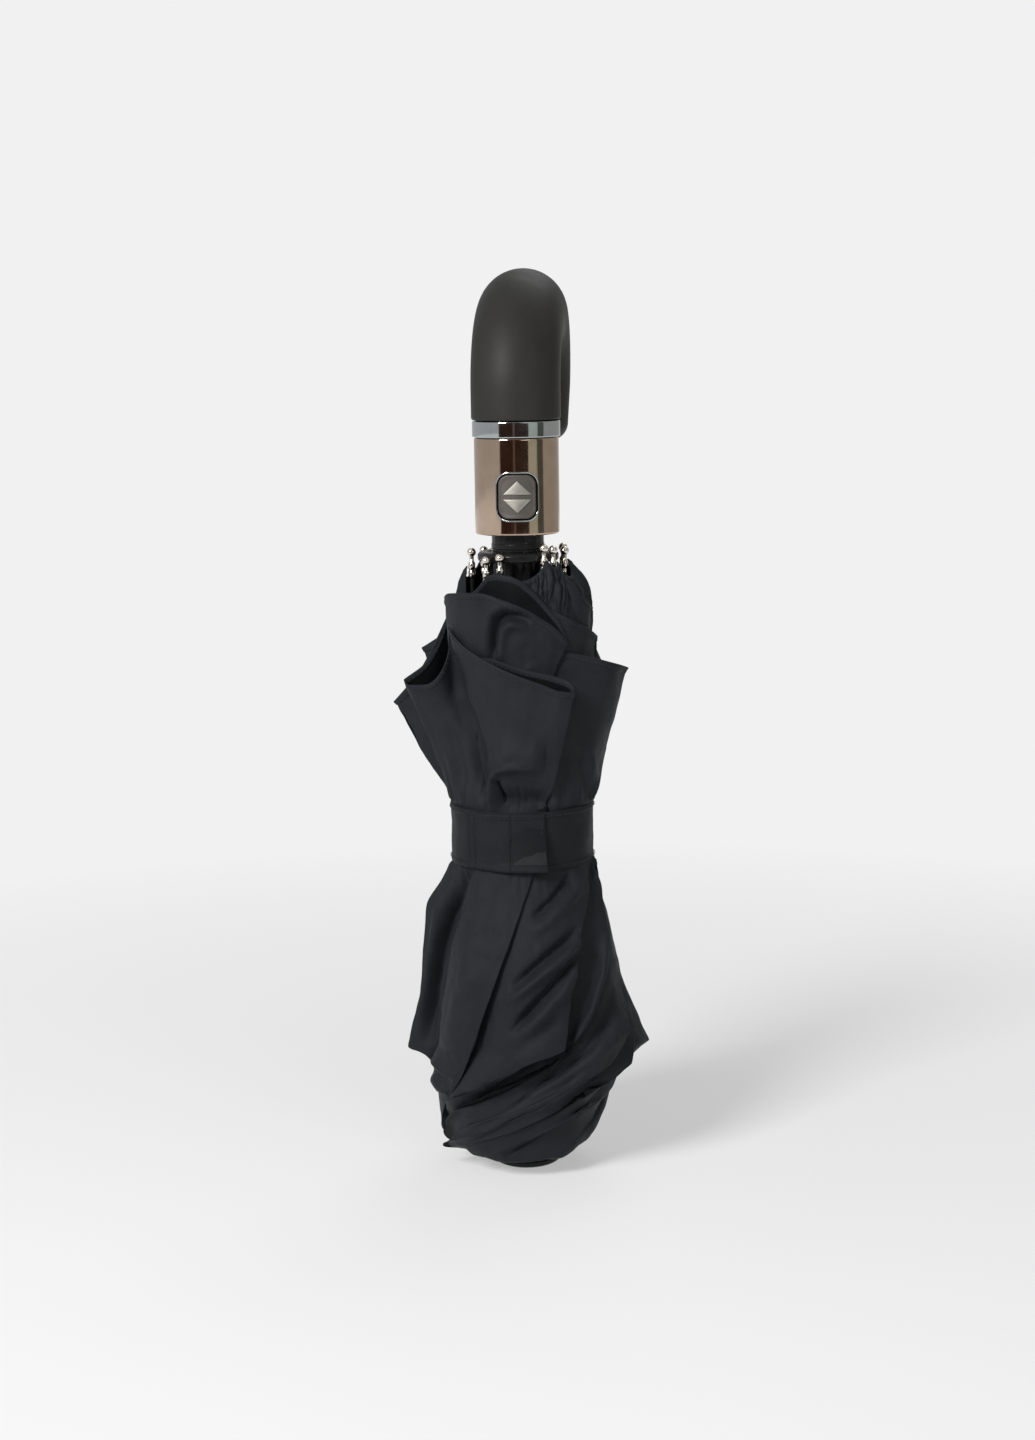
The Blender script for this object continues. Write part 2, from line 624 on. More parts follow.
def tips():
    """Each springy outer wire, its ferrule, neck and ball."""
    start = math.asin(NECK_RADIUS / BALL_RADIUS)
    for index in range(RIB_COUNT):
        degrees = RIB_TURN + RIB_STEP * index
        rise = TIP_RISE_SHARES[index] * BALL_RADIUS
        root = around(degrees, TAIL_RING, FOLD_LINE)
        tip = around(degrees + TIP_LEAN_DEGREES[index], TAIL_RING + TIP_LEAN_OUT, BALL_HEIGHT - BALL_RADIUS + rise)
        reach = (tip - root).length / MM
        stop = reach - WIRE_STOP
        profile = [(0.0, 0.0), (TAIL_WIRE_RADIUS, 0.0), (TAIL_WIRE_RADIUS, stop), (0.0, stop)]
        spun(f"tip_wire_{index + 1}", profile, 12, root, tip, BLACK_FINISH)
        profile = [(radius, reach - before) for radius, before in FERRULE] + [(NECK_RADIUS, reach)]
        centre = reach + BALL_RADIUS * math.cos(start)
        for step in range(17):
            angle = start + (math.pi - start) * step / 16
            profile.append((max(0.0, BALL_RADIUS * math.sin(angle)), centre - BALL_RADIUS * math.cos(angle)))
        made = spun(f"tip_{index + 1}", profile, 20, root, tip, TIP_FINISH)
        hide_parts(f"tail_rib_{index + 1}")


def runner_and_cap():
    """The flange that the tips stand round, and the shallow cap at the foot."""
    low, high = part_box("runner")
    bore, body, flange = RUNNER_BORE, RUNNER_BODY, high.x
    foot, top = high.z - FLANGE_TALL, high.z
    points = [(bore, low.z, 0, 0), (body, low.z, 0, 0), (body, foot, 0, 0), (flange, foot, -0.4, 0),
              (flange, foot, 0, 0.6), (flange, top, 0, -1.0), (flange, top, -0.9, 0), (flange, top, -3.2, 0),
              (flange, top, -3.8, -0.7), (body, top, 1.2, -0.7), (body, top, 0.8, 0), (bore, top, 0, 0)]
    turned_piece("runner_collar", points, "canopy_set", BLACK_FINISH, ["runner"], 128, 0.3)
    rim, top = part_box("crown_cap")[1].x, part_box("crown_cap")[1].z
    points = [(0, 0, 0, 0), (rim, 0, -1.6, 0), (rim, 0, -0.2, 0.8), (rim, 0, 0, 1.4), (rim, top, 0, -1.0),
              (rim, top, -0.9, 0), (0, top, 4.0, 0)]
    turned_piece("cap_disc", points, "canopy_set", BLACK_FINISH, ["crown_cap"], 128, 0.35)


handle()
tips()
runner_and_cap()


# Canopy. One sheet runs as a ring of flaps, each an outer leaf and an inner leaf that meet at a folded tip.
# Along each guide 0 is the hem, 1 the strap's top, 2 its foot, 3 the widest fold, 4 the gather and 5 the hole.
STRAP_LOW, STRAP_HIGH = (corner.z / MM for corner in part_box("strap"))
OVER_STRAP = STRAP_HIGH + 0.5
UNDER_STRAP = STRAP_LOW - 0.5
BOUND_RADIUS = 25.3
HOLE_RADIUS = 5.6
HOLE_HEIGHT = 4.2
# How many rows lie between one whole number and the next, and how much closer they are at its ends
ROW_RUNS = ((72, 0.25), (10, 0.0), (84, 0.2), (60, 0.0), (18, 0.0))


def tail(degrees, radius, height=10.5):
    """A guide's last keys: the gather, the turn in under the bundle and the hole at the cap."""
    return [(4.0, degrees, radius, height), (4.45, degrees - 8, 0.7 * radius, 5.4), (4.75, degrees - 12, 12.0, 4.5),
            (5.0, degrees - 15, HOLE_RADIUS, HOLE_HEIGHT)]


def tied(top_degrees, top_radius, foot_degrees, foot_radius):
    """A guide's keys at the strap's edges."""
    return [(1, top_degrees, top_radius, OVER_STRAP), (2, foot_degrees, foot_radius, UNDER_STRAP)]


# The keys of each guide: how far down it they are, then degrees from the front, and radius and height in mm
TIP_GUIDES = {
    "A2": [(0, *seen_at(422, 648, 24)), *tied(-120, 25.9, -138, 25.8), (2.5, -132, 35, 80), (3, -130, 43, 50),
           (3.4, -145, 37, 34), (3.7, -160, 33, 22), *tail(-190, 28)],
    "A": [(0, *seen_at(394, 702, 16)), (0.5, *seen_at(418, 747, 9)), *tied(-101, 26.4, -115, 25.9),
          (2.5, -112, 35, 82), (3, -110, 40, 50), (3.4, -120, 36, 34), (3.7, -130, 32, 22), *tail(-155, 28.5)],
    "B": [(0, *seen_at(404, 680, -3)), (0.35, *seen_at(419, 716, -4)), (0.72, *seen_at(435, 754, -5)),
          *tied(-80, 26.5, -88, 26.4), (2.2, *seen_at(439, 884, -2)), (2.4, *seen_at(427, 903, -2)),
          (2.62, *seen_at(423, 945, -1)), (2.82, *seen_at(419, 991, 0)), (3, *seen_at(408, 1047, 2)),
          (3.2, *seen_at(426, 1056, -2)), (3.4, -96, 35.5, 36), (3.6, -108, 33, 28), *tail(-135, 29)],
    "C": [(0, *seen(575, 693, 37.6)), (0.5, *seen(563, 748, 31.6)), (1, *seen(549, 809, 26.4)),
          (2, *seen(535, 869, 26.2)), (2.2, *seen(522, 909, 29.5)), (2.5, *seen(503, 962, 34.5)),
          (2.75, *seen(489, 1001, 37.0)), (3, *seen(474, 1044, 37.5)), (3.3, *seen(461, 1078, 35.0)),
          (3.6, *seen(449, 1098, 32.0)), *tail(-101, 32.8, 11)],
    "D": [(0, *seen(568, 643, 27.4)), (0.25, *seen(555, 676, 27.0)), (1, 14, 25.2, OVER_STRAP),
          (2, *seen(590, 860, 27.0)), (2.35, *seen(581, 937, 33.0)), (2.6, *seen(574, 991, 36.5)),
          (3, *seen(565, 1051, 38.6)), (3.3, *seen(535, 1064, 38.2)), (3.55, *seen(506, 1076, 37.0)),
          (3.78, *seen(471, 1091, 34.5)), *tail(-88, 33.0, 20)],
    "E": [(0, *seen_at(628, 668, -3)), (0.4, *seen_at(615, 716, -2)), (0.8, *seen_at(601, 772, -1)),
          (1, 87, 27.0, OVER_STRAP), (2, *seen_at(597, 859, -6)), (2.3, *seen(604, 905, 32.0)),
          (2.55, *seen(610, 948, 35.6)), (2.8, *seen(602, 991, 37.0)), (3, *seen(585, 1030, 36.4)),
          (3.25, *seen(565, 1054, 35.4)), (3.55, *seen(510, 1087, 35.4)), (3.8, *seen(456, 1109, 33.0)),
          *tail(-84, 32.4, 12)],
    "E2": [(0, *seen_at(597, 636, -5)), *tied(93, 25.8, 95, 26.4), (2.5, *seen_at(619, 966, -6)),
           (2.8, *seen_at(625, 1000, -9)), (3, *seen(630, 1031, 43.5)), (3.3, *seen(614, 1059, 41.0)),
           (3.6, *seen(564, 1094, 37.6)), (3.85, *seen(503, 1126, 33.0)), *tail(-75, 33.8, 9.5)],
    "E1": [(0, *seen_at(591, 607, -7)), *tied(98, 25.5, 101, 26.2), (2.5, 96, 34.5, 80), (2.8, 84, 40, 60),
           (3, *seen(633, 1064, 44.0)), (3.3, *seen(616, 1077, 40.0)), (3.6, *seen(578, 1098, 35.6)),
           (3.82, *seen(528, 1123, 32.0)), *tail(-48, 28, 8.5)],
    "F": [(0, 128, 40, 186), *tied(118, 26.2, 108, 26.2), (2.5, 98, 34.6, 80), (2.8, 93, 40.6, 60),
          (3, *seen_at(650, 1040, 4)), (3.12, *seen_at(634, 1050, 2)), (3.35, 80, 35.3, 35),
          (3.6, *seen(603, 1097, 32.6)), (3.8, *seen(564, 1121, 29.0)), *tail(-22, 24.5, 7)],
    "G": [(0, 165, 38, 190), *tied(150, 26.2, 140, 26), (2.5, 148, 35, 82), (3, 150, 44, 50), (3.4, 134, 38, 34),
          (3.7, 112, 30, 22), *tail(62, 23.5, 9)],
    "H": [(0, 203, 41, 183), *tied(195, 26.2, 186, 26), (2.5, 196, 35, 82), (3, 198, 43, 47), (3.4, 182, 38, 34),
          (3.7, 160, 33, 22), *tail(118, 25)],
}
VALLEY_GUIDES = {
    "A2": [(0, -116, 27.0, 205), *tied(-108, 24.7, -126, 24.8), (2.5, -122, 32, 82), (3, -120, 33, 52),
           (3.5, -138, 30, 30), *tail(-172, 26)],
    "A": [(0, *seen_at(450, 610, 6)), *tied(-92, 25.0, -103, 25.0), (2.5, -101, 32.5, 82), (3, -100, 33.5, 52),
          (3.5, -112, 30, 30), *tail(-145, 26)],
    "B": [(0, *seen(449, 627, 28.4)), (0.3, *seen(456, 663, 25.6)), (0.7, *seen(470, 735, 23.8)),
          (1, *seen(487, 806, 24.4)), (2, *seen(472, 866, 24.6)), (2.2, -58, 25.0, 104), (2.45, -66, 26.4, 89),
          (2.7, -72, 26.6, 72), (3, -76, 26.6, 50), (3.2, -84, 31.5, 43), (3.35, -92, 33.0, 36), (3.5, -99, 31.5, 30),
          *tail(-118, 27)],
    "C": [(0, -118, 25.0, 200), *tied(-62, 24.4, -12, 24.6), (2.5, -34, 28.6, 82), (3, -46, 29.0, 50),
          (3.5, -78, 27.5, 30), *tail(-112, 26.5, 12)],
    "D": [(0, -80, 21.5, 212), *tied(-20, 24.0, 56, 25.0), (2.3, 34, 27.4, 92), (2.6, 18, 26.6, 74), (3, 8, 26.4, 52),
          (3.5, -25, 29.5, 36), (3.8, -62, 30, 24), *tail(-96, 27.5, 14)],
    "E": [(0, -50, 20.5, 207), *tied(38, 24.0, 82, 25.2), (2.5, 50, 31.5, 82), (3, 28, 31.5, 50), (3.5, -8, 31.5, 32),
          *tail(-78, 28.0, 11)],
    "E2": [(0, 40, 20.5, 212), *tied(70, 23.8, 91, 25.2), (2.5, 74, 33, 80), (3, 56, 37, 48), (3.4, 36, 34, 34),
           *tail(-60, 28, 9)],
    "E1": [(0, 76, 21.0, 212), *tied(90, 23.8, 97, 25), (2.5, 86, 33, 80), (3, 73, 38, 48), (3.4, 50, 33, 32),
           *tail(-42, 26, 7.5)],
    "F": [(0, 105, 22.0, 208), *tied(112, 24.0, 115, 25), (2.5, 112, 31, 82), (3, 112, 33, 52), (3.5, 84, 29, 28),
          *tail(14, 25, 7)],
    "G": [(0, 140, 22.5, 206), *tied(138, 24.0, 160, 25), (2.5, 168, 31, 82), (3, 170, 33, 52), (3.5, 142, 29, 28),
          *tail(88, 23.5, 9)],
    "H": [(0, 190, 23.0, 206), *tied(212, 24.0, 206, 25), (2.5, 212, 31, 82), (3, 214, 33, 52), (3.5, 188, 30, 28),
          *tail(142, 26)],
}
# The hem between a valley and the tip after it, and between a tip and the valley after it
OUTER_HEMS = {
    "C": [seen(463, 646, 29.6), seen(488, 663, 31.2), seen(516, 676, 33.2), seen(541, 685, 35.2),
          seen(560, 692, 36.8)],
    "D": [(-102, 26.6, 212), seen(450, 594, 27.6), seen(479, 594, 27.5), seen(504, 601, 27.4), seen(522, 608, 27.3),
          seen(541, 619, 27.4), seen(557, 630, 27.4)],
    "E": [(-30, 21.5, 204), (20, 23.2, 200), seen(566, 652, 26.2), seen(588, 657, 31.0), seen(608, 662, 36.0)],
    "E2": [(-10, 21.5, 208), seen(532, 600, 22.6), seen(551, 610, 25.0), seen(575, 622, 27.4)],
    "E1": [(46, 22.5, 218), seen(566, 576, 25.4), seen(571, 582, 26.4), seen(582, 595, 27.4)],
    "B": [seen_at(440, 640, 3), seen_at(426, 663, 0)],
    "A": [seen_at(420, 672, 16)],
    "F": [(112, 28, 200), (120, 34, 192)],
    "G": [(120, 27, 202), (145, 32, 196)],
    "H": [(160, 28, 200), (184, 34, 190)],
    "A2": [(212, 28, 202), (226, 36, 200)],
}
INNER_HEMS = {
    "A": [seen_at(407, 690, 12), seen_at(425, 662, 10)],
    "B": [seen_at(408, 685, -6), seen_at(426, 685, -10), seen_at(441, 672, -12), seen(449, 654, 28.0)],
    "C": [seen(572, 685, 36.0), seen(554, 677, 31.6), seen(522, 670, 28.6), seen(488, 659, 27.2),
          (-60, 25.8, 196), (-90, 25.4, 197)],
    "D": [seen(561, 624, 25.8), seen(547, 607, 24.0), seen(532, 591, 22.8), seen(510, 577, 22.0),
          seen(491, 575, 21.6), seen(478, 588, 21.6)],
    "E2": [seen(585, 630, 26.6), seen(570, 622, 24.4), (45, 21.4, 203), (42, 20.6, 209)],
    "A2": [seen_at(437, 642, 20)],
}
# For each flap's outer leaf, then its inner one: its columns, how soon it rises from its valley to its tip (the outer
# leaf above and below the strap), and how many mm it swells above and below the strap
FLAPS = {
    "A2": ((20, (1.0, 0.8), (1.0, 2.5)), (12, 1.0, (0, 0))),
    "A": ((14, (1.0, 0.8), (0.5, 2.0)), (16, 1.0, (0, 0))),
    "B": ((22, (1.0, 0.8), (0.5, 0.5)), (30, 1.0, (-1.0, 1.2))),
    "C": ((96, (1.1, 0.38), (1.8, 3.6)), (24, 1.5, (0, 0))),
    "D": ((116, (0.6, 0.95), (0.6, 3.4)), (26, 1.3, (0, 0))),
    "E": ((44, (1.0, 2.4), (1.0, 2.0)), (14, 3.0, (0, 0))),
    "E2": ((36, (0.8, 0.8), (0.3, 1.5)), (14, 2.2, (0, 0))),
    "E1": ((28, (0.8, 0.8), (0, 0)), (12, 1.4, (0, 0))),
    "F": ((20, (0.8, 0.6), (1.5, 0.3)), (12, 1.4, (0, 0))),
    "G": ((20, (0.8, 0.6), (1.5, 0.8)), (12, 1.4, (0, 0))),
    "H": ((20, (0.8, 0.6), (1.5, 1.5)), (12, 1.4, (0, 0))),
}
FIRST_TIP_DEGREES = -123.0
TIP_STEP_DEGREES = 60.0


def near(degrees, other):
    """The same angle, brought within half a turn of another."""
    return degrees + 360.0 * round((other - degrees) / 360.0)


def monotone(xs, ys, at):
    """A smooth curve through points that doesn't overshoot them."""
    xs, ys = np.array(xs, float), np.array(ys, float)
    steps = np.diff(xs)
    slopes = np.diff(ys) / steps
    tangents = np.array([slopes[0], *np.zeros(len(xs) - 2), slopes[-1]])
    for i in range(1, len(xs) - 1):
        if slopes[i - 1] * slopes[i] > 0:
            a, b = 2 * steps[i] + steps[i - 1], steps[i] + 2 * steps[i - 1]
            tangents[i] = (a + b) / (a / slopes[i - 1] + b / slopes[i])
    k = np.clip(np.searchsorted(xs, at, side="right") - 1, 0, len(steps) - 1)
    t = (at - xs[k]) / steps[k]
    return ((2 * t**3 - 3 * t**2 + 1) * ys[k] + (t**3 - 2 * t**2 + t) * steps[k] * tangents[k]
            + (3 * t**2 - 2 * t**3) * ys[k + 1] + (t**3 - t**2) * steps[k] * tangents[k + 1])


def guide_points(keys, rows, last):
    """(degrees, radius, height) at each row of a guide, in separate smooth runs between its whole numbers."""
    table = []
    for row, degrees, radius, height in keys:
        last = near(degrees, last)
        table.append((row, last, radius, height))
    table = np.array(table)
    result = np.empty((len(rows), 3))
    for low, high in ((0, 1), (1, 2), (2, 3), (3, 5)):
        chosen = table[(table[:, 0] >= low) & (table[:, 0] <= high)]
        inside = (rows >= low) & (rows <= high)
        for axis in range(3):
            result[inside, axis] = monotone(chosen[:, 0], chosen[:, axis + 1], rows[inside])
    return result


def row_values():
    """The sheet's rows, closer together near the hem and the strap's edges."""
    runs = []
    for low, (count, ease) in enumerate(ROW_RUNS):
        share = np.arange(count) / count
        runs.append(low + (share * (1 - ease) + ease * (0.5 - 0.5 * np.cos(np.pi * share))))
    return np.concatenate([*runs, [len(ROW_RUNS)]])


def lengths_of(points):
    """The length of each step along the first axis."""
    return np.linalg.norm(np.diff(points, axis=0), axis=-1)


def running(lengths):
    """The way gone at each point, from the lengths of the steps between them."""
    return np.concatenate([np.zeros((1,) + lengths.shape[1:]), np.cumsum(lengths, axis=0)])


def unit(vectors):
    """Vectors of length one."""
    return vectors / np.maximum(np.linalg.norm(vectors, axis=-1, keepdims=True), 1e-12)


def to_space(grid):
    """The points of (degrees, radius, height), in mm."""
    turn = np.radians(grid[..., 0])
    return np.stack([grid[..., 1] * np.sin(turn), -grid[..., 1] * np.cos(turn), grid[..., 2]], axis=-1)


def leaf(start, end, hem, count, power, swell, rows, outer):
    """A leaf's columns from one guide to the next, without the last one."""
    even = np.arange(count) / count
    share = 0.35 * even + 0.65 * (0.5 - 0.5 * np.cos(np.pi * even))
    w = share[None, :]
    if outer:
        below = np.clip(rows - 1, 0, 1)[:, None]
        shape = w**(power[0] * (1 - below) + power[1] * below)
    else:
        shape = 1 - (1 - w)**power
    grid = np.stack([start[:, None, axis] * (1 - rise) + end[:, None, axis] * rise
                     for axis, rise in enumerate((w, shape, w))], axis=-1)
    if hem:
        points = [tuple(start[0])]
        for degrees, radius, height in hem:
            points.append((near(degrees, points[-1][0]), radius, height))
        points = np.array([*points, tuple(end[0])])
        run = running(lengths_of(to_space(points)))
        run /= run[-1]
        fade = np.clip(1 - rows, 0, 1)[:, None]**HEM_FADE
        for axis in range(3):
            line = monotone(run, points[:, axis], share)
            grid[:, :, axis] += fade * (line - grid[0, :, axis])[None, :]
    upper = np.sin(np.pi * np.clip(rows, 0, 1))[:, None] * swell[0]
    lower = np.sin(np.pi * np.clip((rows - 2) / 2, 0, 1))[:, None] * swell[1]
    grid[:, :, 1] += (upper + lower) * np.sin(np.pi * w)
    return grid


def canopy_grid():
    """The whole sheet as (degrees, radius, height), with each column's leaf: the flap's name and + for its outer
    leaf or - for its inner one."""
    rows = row_values()
    guides, last = [], FIRST_TIP_DEGREES
    for flap in FLAPS:
        tip = guide_points(TIP_GUIDES[flap], rows, last)
        valley = guide_points(VALLEY_GUIDES[flap], rows, tip[0, 0])
        guides.append((tip, valley))
        last = valley[0, 0] + TIP_STEP_DEGREES
    before = guides[-1][1].copy()
    before[:, 0] -= 360.0 * round((before[0, 0] - guides[0][0][0, 0]) / 360.0)
    parts, names = [], []
    for flap, (tip, valley) in zip(FLAPS, guides):
        outer, inner = FLAPS[flap]
        parts.append(leaf(before, tip, OUTER_HEMS.get(flap), *outer, rows, True))
        parts.append(leaf(tip, valley, INNER_HEMS.get(flap), *inner, rows, False))
        names += [flap + "+"] * outer[0] + [flap + "-"] * inner[0]
        before = valley
    grid = np.concatenate(parts, axis=1)
    bound = (rows > 1) & (rows < 2)
    grid[bound, :, 1] = np.minimum(grid[bound, :, 1], BOUND_RADIUS)
    return grid, np.array(names), rows


def relax(points, rows, rounds, strength):
    """Evens the sheet out a little, holding the hem, the bound part and the hole."""
    free = (((rows > 0) & (rows < 1)) | ((rows > 2) & (rows < 4.9)))[:, None, None].astype(float)
    for _ in range(rounds):
        across = (np.roll(points, 1, axis=1) + np.roll(points, -1, axis=1)) / 2
        down = points.copy()
        down[1:-1] = (points[:-2] + points[2:]) / 2
        points = points + free * strength * ((across + down) / 2 - points)
    return points


def normals_of(points):
    """The sheet's normal at each of its points."""
    return unit(np.cross(np.gradient(points, axis=0), np.roll(points, -1, axis=1) - np.roll(points, 1, axis=1)))


def cloth_piece(name, points, body, finish, periodic=True):
    """A mesh from a grid of points, with UVs in mm along and across the cloth."""
    rows, columns = points.shape[:2]
    faces = [face[::-1] for face in loops_to_faces(rows, columns, periodic)]
    made = piece(name, points.reshape(-1, 3), faces, body, finish)
    across = np.linalg.norm(np.roll(points, -1, axis=1) - points, axis=-1) / MM
    u = running(across.max(axis=0))
    v = running(lengths_of(points) / MM)
    v = np.concatenate([v, v[:, :1]], axis=1)
    values = []
    for face in made.data.polygons:
        corners = [divmod(corner, columns) for corner in face.vertices]
        places = [column for _, column in corners]
        wraps = max(places) - min(places) > columns / 2
        for row, column in corners:
            column = columns if wraps and column < columns / 2 else column
            values += (u[column], v[row, column])
    made.data.uv_layers.new(name="threads").data.foreach_set("uv", np.array(values, np.float32))
    return made


# Wrinkles: the leaves they lie on, and for each its half width and height in mm and the pixels that it runs through
WRINKLES = [
    ("C+ B-", [(2.6, -1.6, (452, 650), (457, 680), (463, 710), (470, 735), (479, 770), (487, 800))]),
    ("C+", [(1.6, -1.9, (466, 750), (473, 782), (480, 806)), (2.0, 1.0, (478, 755), (484, 780), (488, 804)),
        (1.3, -1.9, (493, 778), (496, 792), (500, 807)),
        (1.7, 1.9, (489, 800), (491, 780), (499, 769), (517, 765), (538, 768)),
        (5.0, 2.2, (494, 760), (514, 755), (545, 758))]),
    ("C+ B-", [(3.4, -1.5, (461, 700), (470, 735), (479, 770), (487, 800))]),
    ("C+", [(5.5, -3.3, (490, 806), (522, 806), (556, 808)), (4.0, -0.8, (480, 690), (487, 740), (491, 765))]),
    ("D+", [(1.3, -2.6, (492, 668), (493, 648), (494, 632), (497, 620), (505, 615), (520, 617), (532, 621)),
        (2.2, 0.9, (482, 665), (484, 635), (489, 614), (500, 606), (520, 606), (540, 615)),
        (1.7, 1.6, (500, 668), (501, 645), (503, 630), (511, 624), (528, 628)), (3.0, -0.6, (520, 645), (530, 668))]),
    ("E+", [(1.2, -1.0, (580, 748), (584, 775), (588, 799)), (2.0, 0.7, (588, 735), (592, 770), (594, 795)),
        (2.6, -0.8, (566, 745), (563, 775), (560, 803))]),
    ("B-", [(1.6, -0.8, (448, 720), (458, 755), (466, 790)), (2.0, 0.7, (428, 700), (442, 735), (456, 775))]),
    ("C+", [(0.9, 0.7, (478, 868), (463, 895), (452, 925), (444, 950)),
        (4.5, 1.2, (480, 960), (462, 1010), (448, 1050)), (3.0, -0.7, (505, 880), (494, 915), (484, 945)),
        (1.2, -1.0, (431, 1066), (441, 1079), (452, 1084)), (1.0, 0.8, (430, 1058), (443, 1071), (457, 1076)),
        (1.0, 0.8, (430, 1075), (440, 1088), (449, 1092))]),
    ("D+", [(1.3, -1.5, (573, 872), (562, 888), (551, 902), (533, 918)),
        (2.2, 1.2, (585, 878), (570, 900), (548, 922), (528, 936)),
        (1.6, -2.1, (580, 926), (562, 945), (540, 964), (512, 988)),
        (1.9, 1.9, (582, 938), (562, 958), (538, 978), (508, 1004)),
        (1.5, -2.6, (579, 951), (566, 972), (550, 991), (530, 1011), (510, 1034)),
        (2.4, 1.8, (576, 968), (561, 992), (543, 1014), (520, 1038)),
        (3.0, -0.9, (560, 1018), (540, 1035), (512, 1055))]),
    ("E+", [(1.8, 1.6, (606, 930), (603, 975), (592, 1012), (574, 1044)),
        (1.4, -1.0, (560, 1062), (520, 1078), (470, 1098), (448, 1106))]),
    ("E2+", [(1.6, -1.2, (612, 985), (606, 1020), (588, 1048), (556, 1072), (508, 1096), (462, 1116)),
        (2.6, 1.0, (622, 1005), (612, 1040), (580, 1070), (540, 1094)),
        (1.3, -0.9, (600, 1058), (566, 1084), (520, 1108), (470, 1132))]),
    ("E1+ E2+", [(1.1, -1.3, (612, 1079), (585, 1090), (540, 1111), (490, 1134), (462, 1145))]),
    ("E1+ F+", [(1.1, -1.3, (600, 1096), (572, 1108), (528, 1130), (486, 1148))]),
    ("F+ E1+", [(1.0, -1.1, (594, 1112), (564, 1127), (528, 1146), (506, 1155))]),
    ("E1+ E2+", [(0.9, 0.9, (606, 1086), (570, 1100), (530, 1120), (486, 1138))]),
    ("E1+ F+", [(0.9, 0.9, (592, 1104), (560, 1118), (520, 1137), (492, 1149))]),
    ("E+ E2+", [(1.0, -1.0, (530, 1094), (490, 1112), (454, 1126))]),
    ("F+ G+ E1+", [(1.1, -1.0, (598, 1098), (584, 1118), (560, 1140), (540, 1154))]),
    ("B-", [(2.3, -4.2, (468, 872), (455, 901), (440, 946), (431, 991), (428, 1046)),
        (1.2, 0.7, (446, 884), (436, 915), (430, 955), (422, 1000), (418, 1035))]),
    ("C+", [(1.1, -1.2, (474, 868), (461, 898), (449, 938))]),
]
WRINKLE_DEPTH = 1.6
WRINKLE_FADE = 0.22
STRAP_PINCH = 0.55
STRAP_PINCH_START = 1.5
STRAP_PINCH_REACH = 9.0
PINCHES = 37
PINCH_WANDER = 2.2
SMALL_PINCHES = 61
SMALL_PINCH_SHARE = 0.6
CALM_LEAVES = ("C+", "D+")
CALM_SHARE = 0.25
CALM_HEM_ROWS = 0.06
CALM_HOLE_ROWS = 0.6
CRUMPLE = 0.62
CRUMPLE_SCALE = 85.0
TUCK_GAP = 0.45
TUCK_GAP_COLUMNS = 5.0
TUCK_STEP = 0.02
TUCK_REACH = 8.0
TUCK_LEAVES = 4
TUCK_ROWS = 4.2
OPEN_FLAPS = ("A2", "A", "B", "G", "H")
HEM_FADE = 1.6
HEM_WIDTH = 2.1
HEM_THICKNESS = 0.26
HEM_STITCH_LINE = 0.72 * HEM_WIDTH
STITCH_LENGTH = 1.3
STITCH_PITCH = 1.9
STITCH_RADIUS = 0.13
STITCH_SIDES = 6
# Along a stitch: the share of its length, its thickness and how far it stands up
STITCH_SECTIONS = ((0.0, 0.35, 0.0), (0.18, 1.0, 0.9), (0.82, 1.0, 0.9), (1.0, 0.35, 0.0))


def distance_to_path(spots, path):
    """Each pixel's distance in mm from a path of pixels, and how far along the path it lies, from 0 to 1."""
    path = np.array(path, float)
    lengths = lengths_of(path)
    start_at = running(lengths)
    best, place = np.full(len(spots), 1e9), np.zeros(len(spots))
    for i, length in enumerate(lengths):
        step = path[i + 1] - path[i]
        share = np.clip(((spots - path[i]) @ step) / length**2, 0, 1)
        away = np.linalg.norm(spots - path[i] - share[:, None] * step, axis=1)
        closer = away < best
        best[closer] = away[closer]
        place[closer] = (start_at[i] + share * length)[closer] / start_at[-1]
    return best * PIXEL_SIZE, place


def wrinkle_heights(points, names):
    """How far each point of the sheet is pushed out or in by the wrinkles drawn on its leaf."""
    heights = np.zeros(points.shape[:2])
    for leaves, drawn in WRINKLES:
        columns = np.isin(names, leaves.split())
        spots = pixels(points[:, columns].reshape(-1, 3))
        for width, height, *path in drawn:
            away, place = distance_to_path(spots, path)
            ends = np.clip(np.minimum(place, 1 - place) / WRINKLE_FADE, 0.0, 1.0)**0.7
            bump = WRINKLE_DEPTH * height * np.exp(-(away / width)**2) * ends
            heights[:, columns] += bump.reshape(points.shape[0], -1)
    return heights


def fractal(points, scale, stretch):
    """Smooth noise, from about -0.5 to 0.5, at an array of points."""
    values = [noise.fractal(Vector(p), 0.9, 2.0, 3) for p in points.reshape(-1, 3) * np.array(stretch) * scale]
    return np.array(values).reshape(points.shape[:-1]) * 0.6


